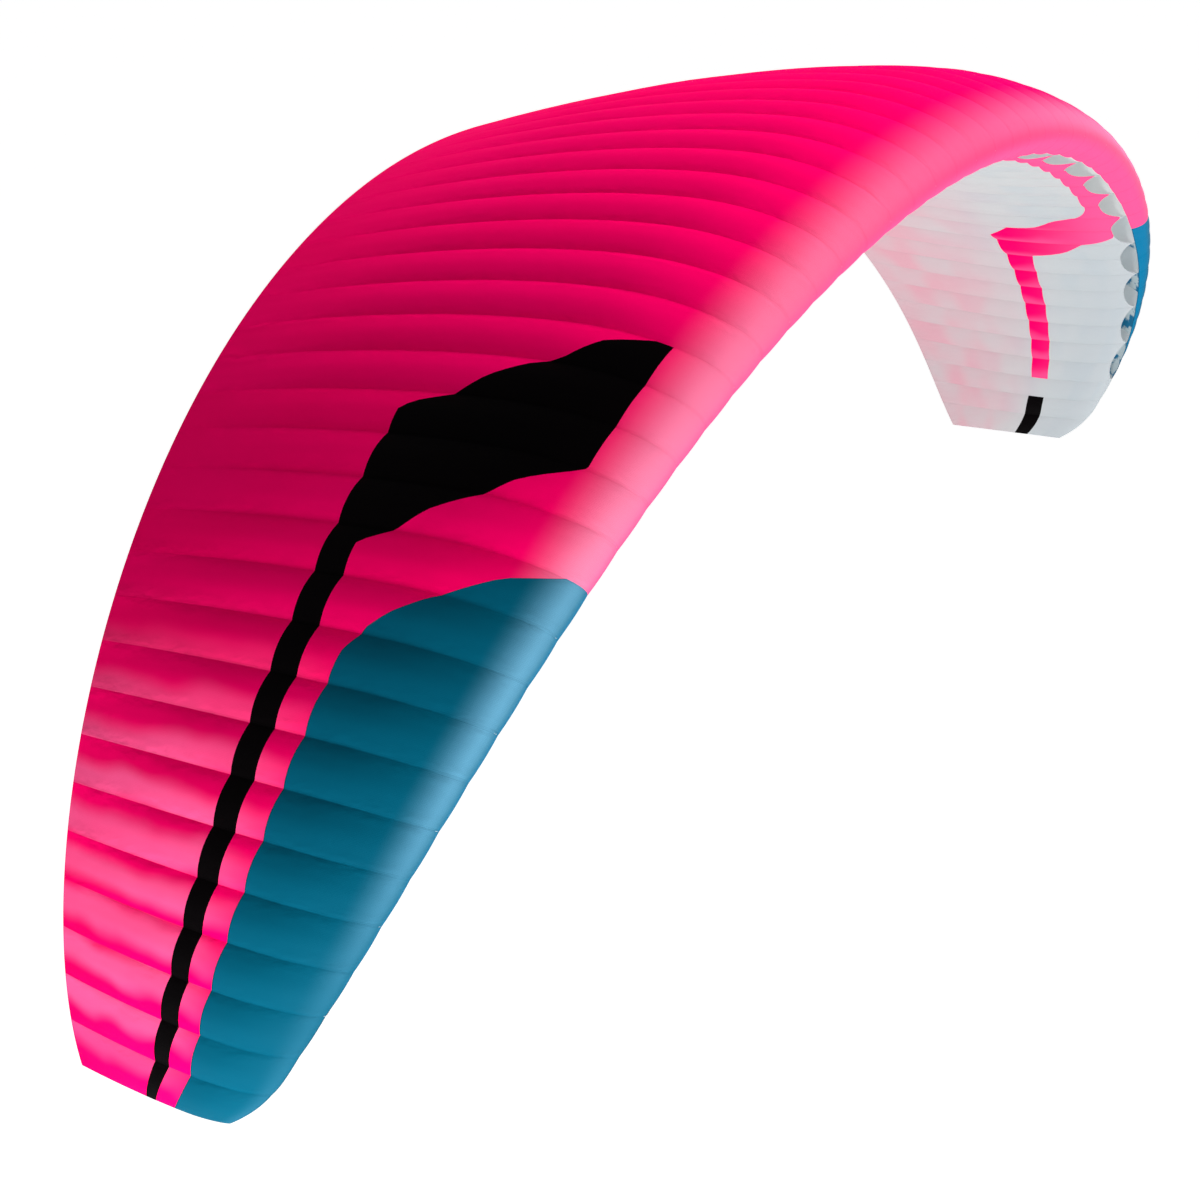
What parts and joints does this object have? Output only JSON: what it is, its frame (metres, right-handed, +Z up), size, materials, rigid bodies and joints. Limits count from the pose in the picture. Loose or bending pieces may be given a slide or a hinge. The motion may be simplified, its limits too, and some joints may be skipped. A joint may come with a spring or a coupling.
{
  "type": "paraglider wing",
  "caption": "Arched ram-air paraglider wing: double cloth skin over ribs, round-bottomed intakes under the nose, swept closed tips, in its flying shape without lines.",
  "frame": {"origin": "front point of the wing's centre section, on its nose line", "axes": "+X along the span to the wing's own left, -Y forward in flight, +Z up"},
  "size_m": [8.9408, 3.0161, 3.2931],
  "materials": {
    "ripstop_pink": "coated ripstop nylon, soft sheen",
    "ripstop_black": "coated ripstop nylon, soft sheen",
    "ripstop_blue": "coated ripstop nylon, soft sheen",
    "ripstop_white": "coated ripstop nylon, thin and slightly sheer",
    "rib_cloth": "stiff uncoloured rib cloth, matte"
  },
  "bodies": {
    "root": {"top_pink": "ripstop_pink", "top_black_left": "ripstop_black", "top_black_right": "ripstop_black", "top_blue_left": "ripstop_blue", "top_blue_right": "ripstop_blue", "lower_white": "ripstop_white", "lower_pink": "ripstop_pink", "lower_black_left": "ripstop_black", "lower_black_right": "ripstop_black", "rib_main_left_1": "rib_cloth", "rib_main_left_2": "rib_cloth", "rib_main_left_3": "rib_cloth", "rib_main_left_4": "rib_cloth", "rib_main_left_5": "rib_cloth", "rib_main_left_6": "rib_cloth", "rib_main_left_7": "rib_cloth", "rib_main_left_8": "rib_cloth", "rib_main_left_9": "rib_cloth", "rib_main_left_10": "rib_cloth", "rib_main_left_11": "rib_cloth", "rib_main_left_12": "rib_cloth", "rib_main_left_13": "rib_cloth", "rib_middle_left_1": "rib_cloth", "rib_middle_left_2": "rib_cloth", "rib_middle_left_3": "rib_cloth", "rib_middle_left_4": "rib_cloth", "rib_middle_left_5": "rib_cloth", "rib_middle_left_6": "rib_cloth", "rib_middle_left_7": "rib_cloth", "rib_middle_left_8": "rib_cloth", "rib_middle_left_9": "rib_cloth", "rib_middle_left_10": "rib_cloth", "rib_middle_left_11": "rib_cloth", "rib_tip_left": "rib_cloth", "rib_main_right_1": "rib_cloth", "rib_main_right_2": "rib_cloth", "rib_main_right_3": "rib_cloth", "rib_main_right_4": "rib_cloth", "rib_main_right_5": "rib_cloth", "rib_main_right_6": "rib_cloth", "rib_main_right_7": "rib_cloth", "rib_main_right_8": "rib_cloth", "rib_main_right_9": "rib_cloth", "rib_main_right_10": "rib_cloth", "rib_main_right_11": "rib_cloth", "rib_main_right_12": "rib_cloth", "rib_main_right_13": "rib_cloth", "rib_middle_right_1": "rib_cloth", "rib_middle_right_2": "rib_cloth", "rib_middle_right_3": "rib_cloth", "rib_middle_right_4": "rib_cloth", "rib_middle_right_5": "rib_cloth", "rib_middle_right_6": "rib_cloth", "rib_middle_right_7": "rib_cloth", "rib_middle_right_8": "rib_cloth", "rib_middle_right_9": "rib_cloth", "rib_middle_right_10": "rib_cloth", "rib_middle_right_11": "rib_cloth", "rib_tip_right": "rib_cloth"}
  },
  "joints": []
}
